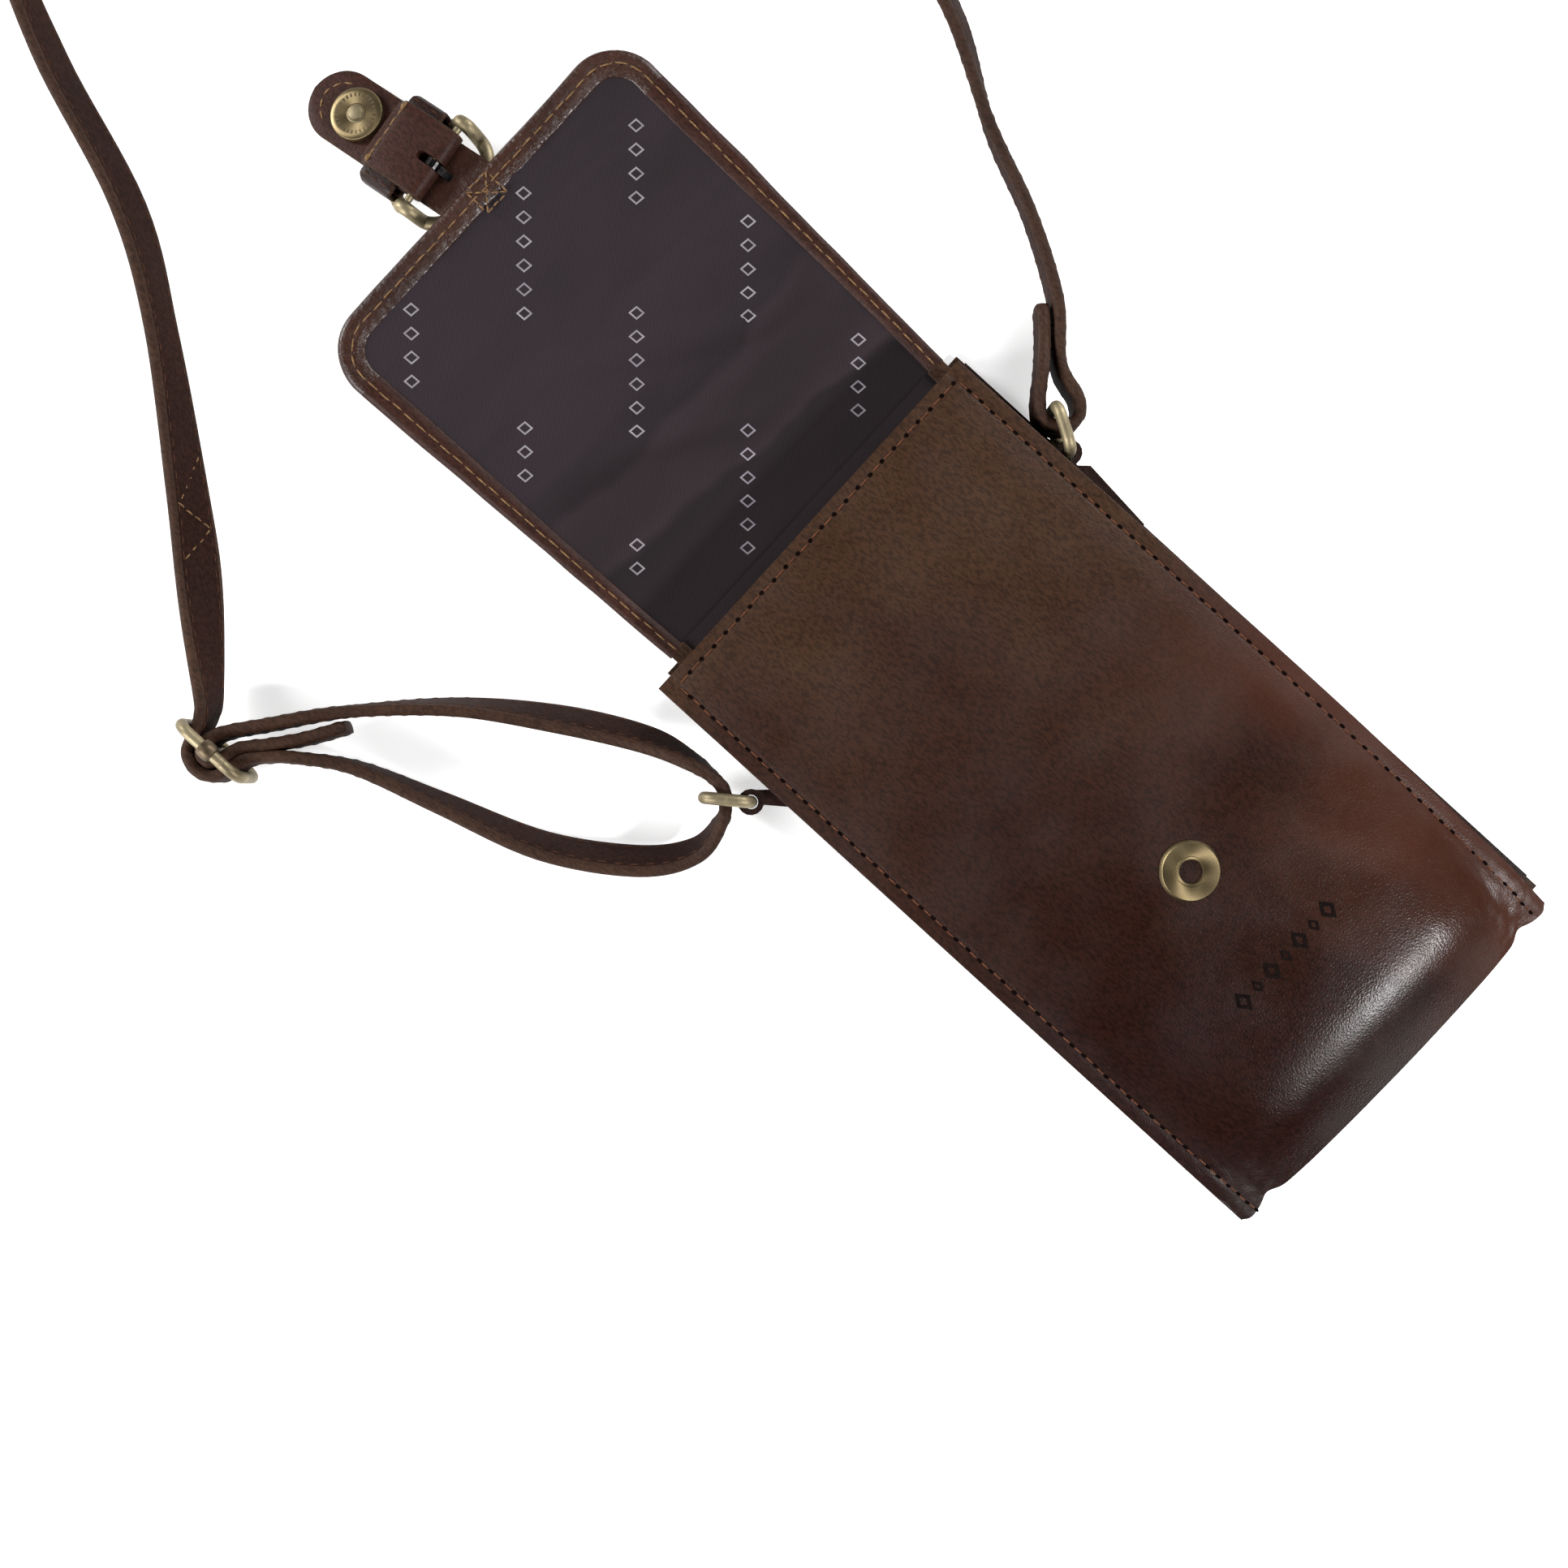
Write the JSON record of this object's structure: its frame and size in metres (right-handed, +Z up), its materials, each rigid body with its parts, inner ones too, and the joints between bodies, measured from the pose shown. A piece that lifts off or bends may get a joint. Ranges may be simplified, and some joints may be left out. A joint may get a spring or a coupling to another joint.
{
  "type": "crossbody phone purse",
  "caption": "Slim brown leather crossbody phone purse lying on its back with its flap open, a magnetic buckle tab and an adjustable strap.",
  "frame": {"origin": "on the back panel's resting face, on the pouch's centre line at the mouth", "axes": "+Z up out of the front, +Y from the pouch's bottom to its mouth and on along the opened flap, +X to the right seen from above with the mouth away from the viewer"},
  "size_m": [0.2979, 0.4442, 0.0259],
  "materials": {
    "leather": "semi-gloss fine grain",
    "dark_leather": "semi-gloss fine grain",
    "lining": "fine twill",
    "brass": "antique satin",
    "dark_metal": "dark nickel"
  },
  "bodies": {
    "pouch": {"back_panel": "leather", "front_panel": "leather", "mouth_facing": "dark_leather", "front_lining": "lining", "back_lining": "lining", "gusset_left": "dark_leather", "gusset_right": "dark_leather", "snap_socket_disc": "brass", "snap_socket_core": "dark_metal", "snap_socket_plate": "dark_metal", "ring_tab_left": "dark_leather", "ring_tab_right": "dark_leather", "slide_frame": "brass", "slide_bar": "brass", "strap_left": "leather", "strap_right": "leather", "strap_coil": "leather"},
    "spine": {"flap_spine": "leather", "spine_lining": "lining", "spine_binding_left": "dark_leather", "spine_binding_right": "dark_leather"},
    "flap": {"flap_panel": "leather", "flap_lining": "lining", "flap_binding": "dark_leather", "tongue_root": "leather"},
    "tab": {"tongue_end": "leather", "tab_strap": "leather", "keeper_loop": "leather", "buckle_frame": "brass", "buckle_bar": "brass", "snap_stud_disc": "brass", "snap_stud_boss": "brass"},
    "prong": {"buckle_prong": "dark_metal"},
    "left_ring": {"ring_left": "brass"},
    "right_ring": {"ring_right": "brass"}
  },
  "joints": [
    {"name": "flap_root_fold", "type": "hinge", "parent": "pouch", "child": "spine", "pos_m": [0.004, 0.0032, 0.0013], "axis": [1, 0, 0], "range_deg": [0, 84.5]},
    {"name": "flap_upper_fold", "type": "hinge", "parent": "spine", "child": "flap", "pos_m": [0.004, 0.0246, 0.00336], "axis": [1, 0, 0], "range_deg": [0, 84.5]},
    {"name": "tab_flex", "type": "hinge", "parent": "flap", "child": "tab", "pos_m": [0.0055, 0.10531, 0.01023], "axis": [0.9925, 0.1213, 0.0117], "range_deg": [0, 17]},
    {"name": "prong_swing", "type": "hinge", "parent": "tab", "child": "prong", "pos_m": [0.00375, 0.11959, 0.01053], "axis": [0.9925, 0.1213, 0.0117], "range_deg": [0, 4.5]},
    {"name": "left_ring_swing", "type": "hinge", "parent": "pouch", "child": "left_ring", "pos_m": [-0.0549, -0.0325, 0.0123], "axis": [0, 0, 1], "range_deg": [-5, 5]},
    {"name": "right_ring_swing", "type": "hinge", "parent": "pouch", "child": "right_ring", "pos_m": [0.0522, -0.0324, 0.0123], "axis": [0, 0, 1], "range_deg": [-5, 3]}
  ],
  "couplings": [
    {"joint": "flap_upper_fold", "follows": "flap_root_fold", "ratio": 1}
  ]
}
